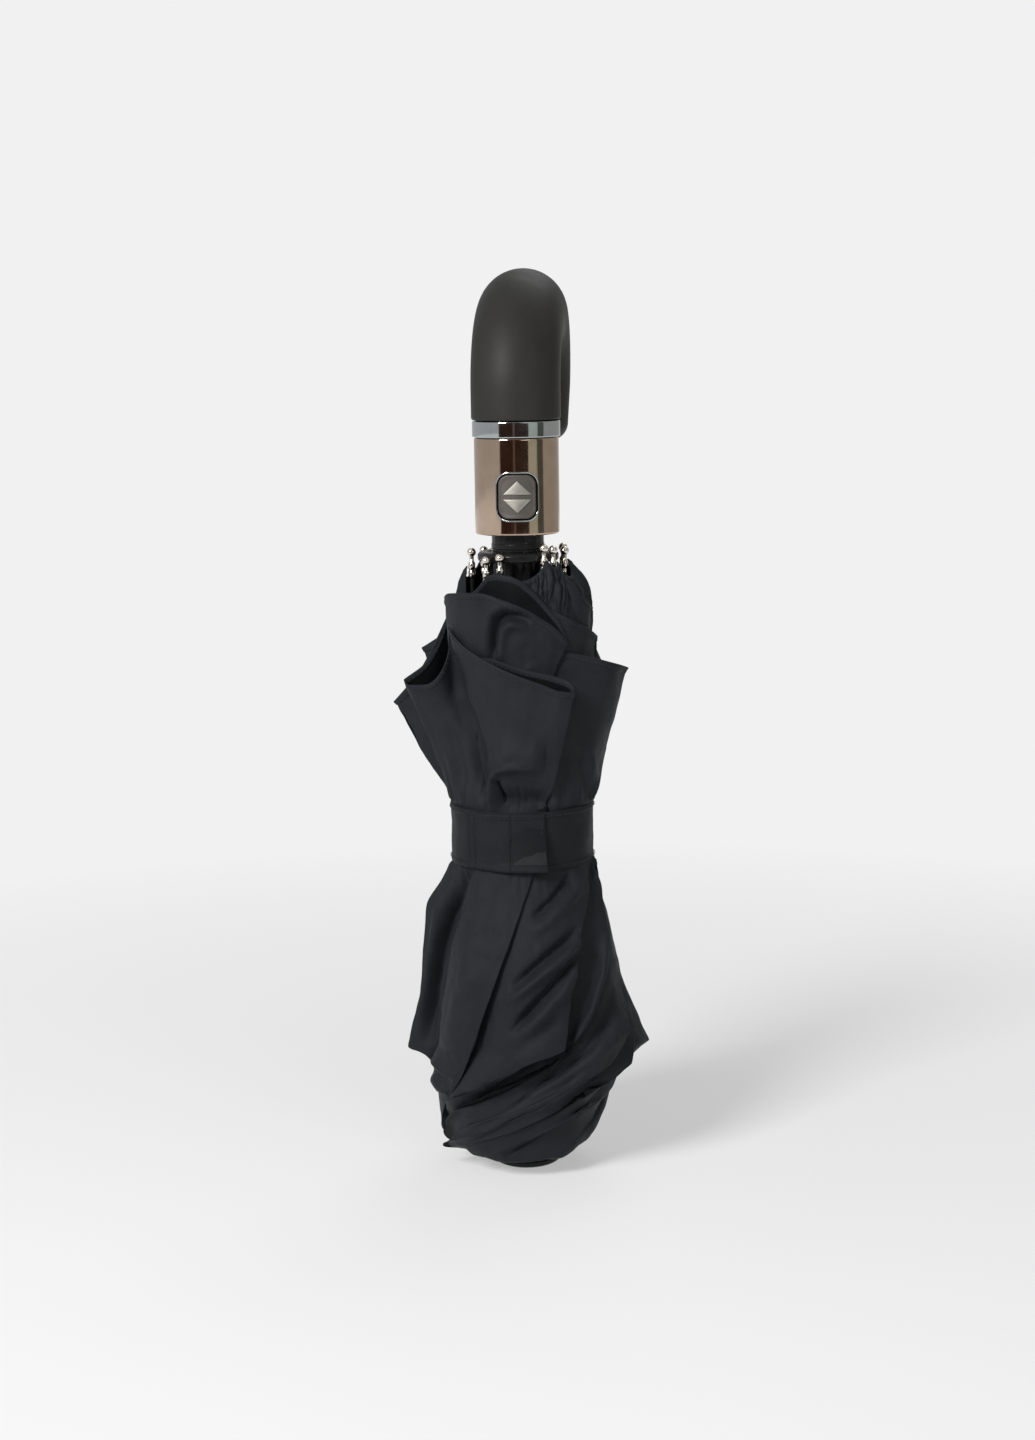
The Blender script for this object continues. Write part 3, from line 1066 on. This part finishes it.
def crumpled(points, names, rows):
    """The sheet with its drawn wrinkles, pinches at the strap's edges and a slight crumple all over."""
    normal = normals_of(points)
    shown = np.char.endswith(names, "+")
    out = normal * np.sign((normal * points)[:, shown, :2].sum())
    heights = wrinkle_heights(points, names)
    z = points[..., 2] / MM
    past_strap = np.where(z > (STRAP_LOW + STRAP_HIGH) / 2, z - OVER_STRAP, UNDER_STRAP - z)
    pinch = np.exp(-(np.clip(past_strap, 0, None) / STRAP_PINCH_REACH)**2)
    pinch = pinch * np.clip(past_strap / STRAP_PINCH_START, 0, 1)
    turn = np.arctan2(points[..., 0], -points[..., 1])
    ripple = np.sin(PINCHES * turn + PINCH_WANDER * np.sin(5 * turn) + z * 0.05)
    ripple += SMALL_PINCH_SHARE * np.sin(SMALL_PINCHES * turn + 1.3)
    calm = np.where(np.isin(names, CALM_LEAVES), CALM_SHARE, 1.0)[None, :]
    heights += STRAP_PINCH * calm * pinch * ripple
    free = np.where((rows > 1) & (rows < 2), 0.0, 1.0)[:, None]
    hem = np.clip(rows / CALM_HEM_ROWS, 0, 1)[:, None]
    heights += CRUMPLE * free * (0.3 + 0.7 * hem) * fractal(points, CRUMPLE_SCALE, (1.0, 1.0, 0.6)) * 2
    near_hole = np.clip((rows[-1] - rows) / CALM_HOLE_ROWS, 0, 1)[:, None]
    return points + out * heights[..., None] * near_hole[..., None] * MM


def push_in(tree, place, gap):
    """How many mm a point has to go in to lie behind a cover by a gap."""
    inward = Vector((-place.x, -place.y, 0.0)).normalized()
    push, reach = 0.0, TUCK_STEP
    while True:
        found = tree.ray_cast(place + inward * reach * MM, inward, (TUCK_REACH - reach) * MM)[3]
        if found is None:
            break
        push = reach + found / MM + gap
        reach += found / MM + TUCK_STEP
    if gap > 0.0 and push == 0.0:
        above = tree.ray_cast(place, -inward, gap * MM)[3]
        if above is not None:
            push = gap - above / MM
    return push


def tucked(points, names, rows):
    """The sheet with each folded leaf pushed in behind the leaves that lie over it."""
    order = [flap + side for flap in FLAPS for side in "+-"]
    count = int(np.searchsorted(rows, TUCK_ROWS))
    columns = points.shape[1]
    for index, under in enumerate(order):
        if order[index if under.endswith("-") else index - 1][:-1] in OPEN_FLAPS:
            continue
        back = np.flatnonzero(names == under)
        first = np.flatnonzero(names == order[index - TUCK_LEAVES])[0]
        front = [(first + k) % columns for k in range((back[0] - first) % columns + 1)]
        cover = [Vector(p) for p in points[:count, front].reshape(-1, 3)]
        tree = BVHTree.FromPolygons(cover, loops_to_faces(count, len(front), False))
        push = np.array([[push_in(tree, Vector(points[row, column]), TUCK_GAP * min(1.0, number / TUCK_GAP_COLUMNS))
                          for number, column in enumerate(back)] for row in range(count)])
        for _ in range(3):
            soft = push.copy()
            soft[1:-1] = (push[:-2] + 2 * push[1:-1] + push[2:]) / 4
            soft[:, 1:-1] = (soft[:, :-2] + 2 * soft[:, 1:-1] + soft[:, 2:]) / 4
            push = np.maximum(push, soft)
        turn = np.arctan2(points[:count, back, 0], points[:count, back, 1])
        points[:count, back, 0] -= push * np.sin(turn) * MM
        points[:count, back, 1] -= push * np.cos(turn) * MM
    return points


def along_hem(points, distance):
    """The points and normals of the sheet at a distance in mm below its hem."""
    normal = normals_of(points)
    run = running(lengths_of(points))
    found, sides = [], []
    for column in range(points.shape[1]):
        row = int(np.searchsorted(run[:, column], distance * MM))
        row = min(max(row, 1), len(run) - 1)
        span = run[row, column] - run[row - 1, column]
        share = (distance * MM - run[row - 1, column]) / max(span, 1e-12)
        found.append(points[row - 1, column] * (1 - share) + points[row, column] * share)
        sides.append(normal[row, column])
    return np.array(found), np.array(sides)


def hem_band(name, points):
    """The turned hem: a narrow double fold that wraps the sheet's edge."""
    top, top_side = along_hem(points, 0.0)
    low, low_side = along_hem(points, HEM_WIDTH)
    up, thick = unit(top - low), HEM_THICKNESS * MM

    def face(sign):
        return [low + sign * low_side * 0.04 * MM, low + sign * low_side * thick * 0.85 + up * 0.15 * MM,
                (low + top) / 2 + sign * low_side * thick, top + sign * top_side * thick]

    ring = [*face(1), top + up * thick, *face(-1)[::-1]]
    made = cloth_piece(name, np.stack(ring[::-1]), "canopy_set", CLOTH_FINISH)


def stitched(name, line, side, down, body, ring):
    """Short threads along a line of points: on both sides of the cloth if it is a ring, or else on one."""
    if ring:
        line, side, down = (np.concatenate([a, a[:1]]) for a in (line, side, down))
    run = running(lengths_of(line)) / MM

    def at(mark, values):
        return np.array([np.interp(mark, run, values[:, axis]) for axis in range(3)])

    verts, faces = [], []
    for number in range(int((run[-1] - STITCH_LENGTH) / STITCH_PITCH)):
        marks = [number * STITCH_PITCH + share * STITCH_LENGTH for share, _, _ in STITCH_SECTIONS]
        faced, across = at(marks[1], side), at(marks[1], down)
        for sign in (1, -1) if ring else (1,):
            first = len(verts)
            for mark, (_, size, rise) in zip(marks, STITCH_SECTIONS):
                centre = at(mark, line) + sign * faced * (HEM_THICKNESS + STITCH_RADIUS * (rise - 0.5)) * MM
                verts += hoop(centre, STITCH_RADIUS * size * MM, across, faced, STITCH_SIDES)
            faces += loops_to_faces(len(marks), STITCH_SIDES, True, first)
            faces += [tuple(range(start, start + STITCH_SIDES)) for start in (first, len(verts) - STITCH_SIDES)]
    return piece(name, verts, faces, body, THREAD_FINISH, tidy=True)


def canopy():
    """The canopy's sheet with its hem and the hem's stitches."""
    grid, names, rows = canopy_grid()
    points = relax(to_space(grid) * MM, rows, 3, 0.35)
    points = tucked(relax(crumpled(points, names, rows), rows, 1, 0.2), names, rows)
    made = cloth_piece("canopy_cloth", points, "canopy_set", CLOTH_FINISH)
    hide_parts("canopy")
    hem_band("canopy_hem", points)
    line, side = along_hem(points, HEM_STITCH_LINE)
    stitched("canopy_stitches", line, side, unit(line - points[0]), "canopy_set", True)


# The gather: the cloth between the tips and the flaps. Its lengths are in mm.
GATHER_COLUMNS = 330
GATHER_ROWS = 34
GATHER_LOW = 176.0
GATHER_SIDE = 25.0
GATHER_FRONT = 20.6
GATHER_FRONT_DEGREES = -12.0
GATHER_FRONT_HALF = 52.0
GATHER_SHIFT = 1.3
GATHER_DIP = 5.5
GATHER_TOP = 226.0
GATHER_TOP_RADIUS = 18.7
GATHER_TOP_ARCH = 1.6
GATHER_OPENS_OVER = 5.0
GATHER_DRAWN_IN = 2.6
GATHER_DRAWN_FROM = 0.55
GATHER_SWAY = 2.2
PLEATS_PER_DEGREE = 0.072
PLEAT_LEAN = 0.055
PLEAT_WANDER = 0.8
PLEAT_DEPTH = 2.0
FINE_PLEATS = 1.73
FINE_PLEAT_SHARE = 0.6
POCKET_DEGREES = -57.0
POCKET_HALF = 24.0
POCKET_DROP = 26.0


def pleated(turns):
    """A rounded ridge and a sharp crease for each whole turn, from -0.5 to 0.5."""
    return abs(math.sin(math.pi * turns))**0.7 - 0.5


def hump(degrees, middle, half):
    """A broad hump of height 1 round an angle."""
    return math.exp(-((near(degrees, middle) - middle) / half)**4)


def gather():
    """A fluted bell that hangs from the tips and goes down inside the flaps."""
    balls = sorted(((RIB_TURN + RIB_STEP * k + TIP_LEAN_DEGREES[k]) % 360.0, TIP_RISE_SHARES[k] * BALL_RADIUS)
                   for k in range(RIB_COUNT))
    angles = [angle for angle, _ in balls]
    points = np.empty((GATHER_ROWS, GATHER_COLUMNS, 3))
    for column in range(GATHER_COLUMNS):
        degrees = 360.0 * column / GATHER_COLUMNS
        after = next((k for k, angle in enumerate(angles) if angle > degrees), 0)
        before = (after - 1) % RIB_COUNT
        gap = (angles[after] - angles[before]) % 360.0
        share = ((degrees - angles[before]) % 360.0) / gap
        level = GATHER_TOP + balls[before][1] * (1 - share) + balls[after][1] * share
        arch = math.sin(math.pi * share)
        level -= GATHER_DIP * min(1.0, gap / RIB_STEP) * arch**0.8
        level -= POCKET_DROP * hump(degrees, POCKET_DEGREES, POCKET_HALF)
        wide = GATHER_SIDE + (GATHER_FRONT - GATHER_SIDE) * hump(degrees, GATHER_FRONT_DEGREES, GATHER_FRONT_HALF)
        top_radius = GATHER_TOP_RADIUS + GATHER_TOP_ARCH * arch
        for row in range(GATHER_ROWS):
            t = row / (GATHER_ROWS - 1)
            drop = (level - GATHER_LOW) * t**1.3
            open_share = 1 - math.exp(-drop / GATHER_OPENS_OVER)
            radius = top_radius + (wide - top_radius) * open_share
            lean = PLEAT_LEAN * drop * (0.4 + 0.6 * share)
            wander = PLEAT_WANDER * noise.noise(Vector((degrees, drop * 0.2, 3)))
            pleat = pleated(degrees * PLEATS_PER_DEGREE + lean + wander)
            pleat += FINE_PLEAT_SHARE * pleated(degrees * PLEATS_PER_DEGREE * FINE_PLEATS + 0.6 * lean + 0.37)
            depth = PLEAT_DEPTH * (0.5 + noise.noise(Vector((degrees * 0.06, drop * 0.08, 11))))
            radius += depth * pleat * (0.30 + open_share) * (1 - 0.5 * t)
            shift = GATHER_SHIFT * math.sin(math.radians(degrees)) * open_share
            radius += shift - GATHER_DRAWN_IN * max(0.0, t - GATHER_DRAWN_FROM)
            sway = GATHER_SWAY * math.sin(drop * 0.16 + degrees * 0.07) * open_share
            points[row, column] = around(degrees + sway - 0.25 * drop, radius, level - drop)
    made = cloth_piece("canopy_gather", points, "canopy_set", CLOTH_FINISH)
    hem_band("gather_hem", points)


canopy()
gather()
# Strap and tab, in mm and degrees from the front
STRAP_OUTSIDE = 26.45
STRAP_THICKNESS = 0.7
STRAP_CLIMB_START = -76.0
STRAP_CLIMB_END = -46.0
STRAP_HEM = 2.3
STRAP_HEM_RISE = 0.22
STRAP_WAVE = 0.30
# A band's section round one edge: the height, and how far out as shares of its thickness and of its hem's rise
BAND_EDGE = ((0.5, -1.0, 0.0), (0.08, -0.8, 0.0), (0.0, -0.4, 0.0), (0.12, 0.0, 0.6), (0.9, 0.0, 1.0),
             (STRAP_HEM - 0.3, 0.0, 1.0), (STRAP_HEM, 0.0, 0.0))
SEAM_INSET = STRAP_HEM - 0.7
TAB_START = -44.0
TAB_END = 17.0
TAB_OUTSIDE = 27.55
TAB_THICKNESS = 0.75
TAB_LIFT_LINE = ((511, 857), (549, 838))
TAB_LIFT_SLOPE = 0.36
TAB_SEAM = -40.0
TAB_BOX = -9.0
TAB_GROOVE = 0.38
TAB_GROOVE_HALF = 0.75
TAB_END_SEAM = TAB_END - 2.6
TAB_END_SEAM_RISE = 8.0
TAB_PATCH_BASE = 2.75
TAB_PATCH_TALL = 8.8
TAB_PATCH_PROUD = 0.3
TAB_PATCH_SPAN = 25.0


def evenly(start, end, count):
    """Numbers from start to end, in this many even steps."""
    return [start + (end - start) * i / count for i in range(count + 1)]


def strap_radius(degrees):
    """The strap's outside: it climbs over its own start, to the height of the tab that goes on from it."""
    turned = near(degrees, -60.0)
    climb = min(1.0, max(0.0, (turned - STRAP_CLIMB_START) / (STRAP_CLIMB_END - STRAP_CLIMB_START)))
    drop = min(1.0, max(0.0, (turned - STRAP_CLIMB_END) / (TAB_START + 1.5 - STRAP_CLIMB_END)))
    return STRAP_OUTSIDE + (TAB_OUTSIDE - 0.15 - STRAP_OUTSIDE) * (climb - drop)


def tab_radius(degrees):
    """The tab's outside, with a slight groove at each of its seams."""
    seams = [math.exp(-(((degrees - seam_at) / TAB_GROOVE_HALF) ** 2)) for seam_at in (TAB_SEAM, TAB_BOX)]
    return TAB_OUTSIDE - TAB_GROOVE * max(seams)


def tab_lift(degrees, radius, height):
    """How far the tab's lower corner stands off, past the crease across it."""
    (x0, y0), (x1, y1) = TAB_LIFT_LINE
    x, y = pixels(np.array([around(degrees, radius, height)]))[0]
    past = ((y - y0) * (x1 - x0) - (x - x0) * (y1 - y0)) / math.hypot(x1 - x0, y1 - y0)
    return TAB_LIFT_SLOPE * PIXEL_SIZE * max(0.0, past)


def band_spot(degrees, height, out, radius_of, low, lift):
    """A point of a band, with its slight waves."""
    turn = math.radians(degrees)
    wave = STRAP_WAVE * noise.fractal(Vector((3 * math.sin(turn), 3 * math.cos(turn), height * 0.12)), 0.9, 2.0, 3)
    sway = STRAP_WAVE * noise.noise(Vector((2 * math.sin(turn), 2 * math.cos(turn), 7.0)))
    radius = radius_of(degrees) + out + max(wave, -0.25)
    z = low + height + sway
    if lift:
        radius += lift(degrees, radius, z)
    return around(degrees, radius, z)


def close_ends(item, rows, columns):
    """Faces across a band's two ends."""
    mesh = bmesh.new()
    mesh.from_mesh(item.data)
    mesh.verts.ensure_lookup_table()
    for column in (0, columns - 1):
        mesh.faces.new([mesh.verts[row * columns + column] for row in range(rows - 1)])
    mesh.to_mesh(item.data)
    mesh.free()


def band(name, angles, radius_of, thickness, body, node, periodic, lift=None):
    """A band with a raised hem along each edge, in a node's box, and its lowest and highest height."""
    low, high = (corner.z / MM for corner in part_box(node))
    tall = high - low
    edge = [(height, thick * thickness + rise * STRAP_HEM_RISE) for height, thick, rise in BAND_EDGE]
    section = edge + [(height, 0.0) for height in evenly(STRAP_HEM + 0.4, tall - STRAP_HEM - 0.4, 10)]
    section += [(tall - height, out) for height, out in reversed(edge)] + [edge[0]]
    points = np.array([[band_spot(degrees, height, out, radius_of, low, lift) for degrees in angles]
                       for height, out in section])
    made = cloth_piece(name, points, body, WEBBING_FINISH, periodic)
    if not periodic:
        close_ends(made, len(section), len(angles))
    tidy_normals(made, 5e-6)
    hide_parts(node)
    return made, low, high


def seam(name, spots, body, radius_of, proud):
    """Stitches through (degrees, height) spots on a band."""
    line = np.array([around(d, radius_of(d) + proud, z) for d, z in spots])
    side = unit(line * np.array([1.0, 1.0, 0.0]))
    made = stitched(name, line, side, unit(np.cross(side, np.gradient(line, axis=0))), body, False)


def strap():
    """The band round the bundle, with a seam along each edge."""
    turn = [-180.0 + 2.25 * i for i in range(160)]
    made, low, high = band("strap_band", turn, strap_radius, STRAP_THICKNESS, "canopy_set", "strap", True)
    turn = evenly(TAB_END + 1.0, 360.0 + TAB_START - 1.0, 160)
    for name, height in (("strap_stitches_top", high - SEAM_INSET), ("strap_stitches_low", low + SEAM_INSET)):
        seam(name, [(d, height) for d in turn], "canopy_set", strap_radius, STRAP_HEM_RISE)


def tab():
    """The strap's free end, with its seams and the paler patch at its lower corner."""
    made, low, high = band("strap_end", evenly(TAB_START, TAB_END, 132), tab_radius, TAB_THICKNESS, "tab",
                           "strap_tab", False, tab_lift)
    turn = evenly(TAB_START + 2.0, TAB_END - 3.0, 60)
    rise = evenly(low + 2.0, high - 2.0, 20)
    hooked = [(TAB_BOX, z) for z in rise[:17]]
    hooked += [(TAB_BOX - 0.8, rise[17]), (TAB_BOX - 2.4, rise[18]), (TAB_BOX - 4.6, rise[18] + 0.3)]
    for name, spots, proud in (
            ("tab_stitches_top", [(d, high - SEAM_INSET) for d in turn], STRAP_HEM_RISE),
            ("tab_stitches_low", [(d, low + SEAM_INSET) for d in turn if d < TAB_BOX - 1.0], STRAP_HEM_RISE),
            ("tab_seam_stitches", [(TAB_SEAM, z) for z in rise], 0.0),
            ("tab_box_stitches", hooked, 0.0),
            ("tab_end_stitches", [(TAB_END_SEAM, z) for z in rise if z > low + TAB_END_SEAM_RISE], 0.0)):
        seam(name, spots, "tab", tab_radius, proud)
    turn = evenly(TAB_BOX + 1.2, TAB_END - 0.4, 40)
    points = np.array([[
        band_spot(d, TAB_PATCH_BASE + row / 6 * (0.04 + TAB_PATCH_TALL * (d - turn[0]) / TAB_PATCH_SPAN),
                  TAB_PATCH_PROUD, tab_radius, low, tab_lift) for d in turn] for row in range(7)])
    cloth_piece("tab_patch", points, "tab", TAB_PATCH_FINISH, False)


strap()
tab()

# Studio
BACKDROP = (0.88, 0.88, 0.88)
WORLD_LIGHT = 0.17
WORLD_MIRRORED = 0.62
FLOOR_RADII = (0.0001, 0.2, 0.6, 3.0)
FLOOR_PAPER = (0.96, 0.96, 0.96)
FLOOR_NEAR = 0.45
FLOOR_FAR = 1.0
FADE_RANGE = (0.12, 0.6)
# The cards stand behind the camera: each one's first and last degrees from the front, and its colour
CARD_RADIUS = 1.3
CARD_HEIGHTS = (-0.2, 1.5)
CARD_STEPS = 12
CARDS = [(-46, -9, (0.041, 0.020, 0.014)), (-9, -4, (0.16, 0.12, 0.10)), (-4, 32, (0.034, 0.019, 0.014)),
         (32, 57, (0.50, 0.54, 0.48)), (57, 76, (0.10, 0.11, 0.10)), (76, 150, (0.43, 0.42, 0.40))]
# Each lamp's place, the height of the point that it is turned to, its width and height, and its power in watts
LAMPS = {"key": ((-0.72, -0.92, 0.86), 0.15, (0.42, 0.42), 18.3), "fill": ((0.55, -1.2, 0.45), 0.15, (0.9, 0.6), 4.6),
         "back": ((0.3, 0.8, 1.2), 0.2, (0.8, 0.6), 3.0)}


def prop(name, verts, faces, finish_name):
    """A thing of the studio with a material of its own, that material's nodes, and its output."""
    mesh = bpy.data.meshes.new(name)
    mesh.from_pydata([tuple(v) for v in verts], [], faces)
    finish = bpy.data.materials.new(finish_name)
    finish.use_nodes = True
    mesh.materials.append(finish)
    return placed(name, mesh), finish.node_tree, finish.node_tree.nodes["Material Output"]


def glow(tree, colour):
    """Light of one colour."""
    return add_node(tree, "ShaderNodeEmission", {"Color": (*colour, 1.0), "Strength": 1.0}).outputs[0]


def looks(tree):
    """Whether a ray comes from the camera, and whether it comes by way of a mirroring or clear surface."""
    path = add_node(tree, "ShaderNodeLightPath").outputs
    return path["Is Camera Ray"], reckoned(tree, "MAXIMUM", path["Is Glossy Ray"], path["Is Transmission Ray"])


def floor():
    """A pale floor that keeps the shadow near the object, fades into the backdrop's colour, and stays under the
    canopy's foot when the shaft is out."""
    verts, faces = lathe([(radius, 0.0) for radius in FLOOR_RADII], 64, (0.0, 0.0, -0.0001))
    item, tree, output = prop("floor", verts, faces, "floor_paper")
    paper = tree.nodes["Principled BSDF"]
    fill(paper, {"Base Color": (*FLOOR_PAPER, 1.0), "Roughness": 0.9, "Specular IOR Level": 0.1})
    distance = add_node(tree, "ShaderNodeVectorMath", {0: place_of(tree)}, operation="LENGTH").outputs["Value"]
    fade = between(tree, distance, FLOOR_NEAR, FLOOR_FAR, *FADE_RANGE)
    share = reckoned(tree, "MULTIPLY", reckoned(tree, "MAXIMUM", *looks(tree)), fade)
    surface = add_node(tree, "ShaderNodeMixShader", {0: share, 1: paper.outputs[0], 2: glow(tree, BACKDROP)})
    fill(output, {"Surface": surface.outputs[0]})
    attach(item, "canopy_set")


def cards():
    """Dark and pale cards behind the camera, which only reflections see."""
    for number, (start, end, colour) in enumerate(CARDS):
        points = [around(start + (end - start) * i / CARD_STEPS, CARD_RADIUS / MM, 0.0) for i in range(CARD_STEPS + 1)]
        verts = [(point.x, point.y, height) for point in points for height in CARD_HEIGHTS]
        faces = [(2 * i, 2 * i + 2, 2 * i + 3, 2 * i + 1) for i in range(CARD_STEPS)]
        item, tree, output = prop(f"card_{number}", verts, faces, f"card_{number}")
        fill(output, {"Surface": glow(tree, colour)})
        item.visible_camera = item.visible_diffuse = item.visible_shadow = item.visible_transmission = False


def lamps():
    """Soft rectangular lamps, which the camera doesn't see."""
    for name, (place, height, size, power) in LAMPS.items():
        data = bpy.data.lights.new(name, "AREA")
        data.shape = "RECTANGLE"
        data.size, data.size_y = size
        data.energy = power
        item = placed(name, data)
        item.location = place
        item.rotation_euler = (Vector((0.0, 0.0, height)) - Vector(place)).to_track_quat("-Z", "Y").to_euler()
        item.visible_camera = False


def studio():
    """The backdrop: bright to the camera, less so in mirroring surfaces, and dim as a light."""
    world = bpy.context.scene.world = bpy.data.worlds.new("studio")
    world.use_nodes = True
    tree = world.node_tree
    camera_ray, mirrored_ray = looks(tree)
    strength = reckoned(tree, "MULTIPLY_ADD", camera_ray, 1.0 - WORLD_LIGHT, WORLD_LIGHT)
    strength = reckoned(tree, "MULTIPLY_ADD", mirrored_ray, WORLD_MIRRORED - WORLD_LIGHT, strength)
    fill(tree.nodes["Background"], {"Color": (*BACKDROP, 1.0), "Strength": strength})
    bpy.context.scene.view_settings.view_transform = "Standard"


floor()
cards()
studio()
lamps()
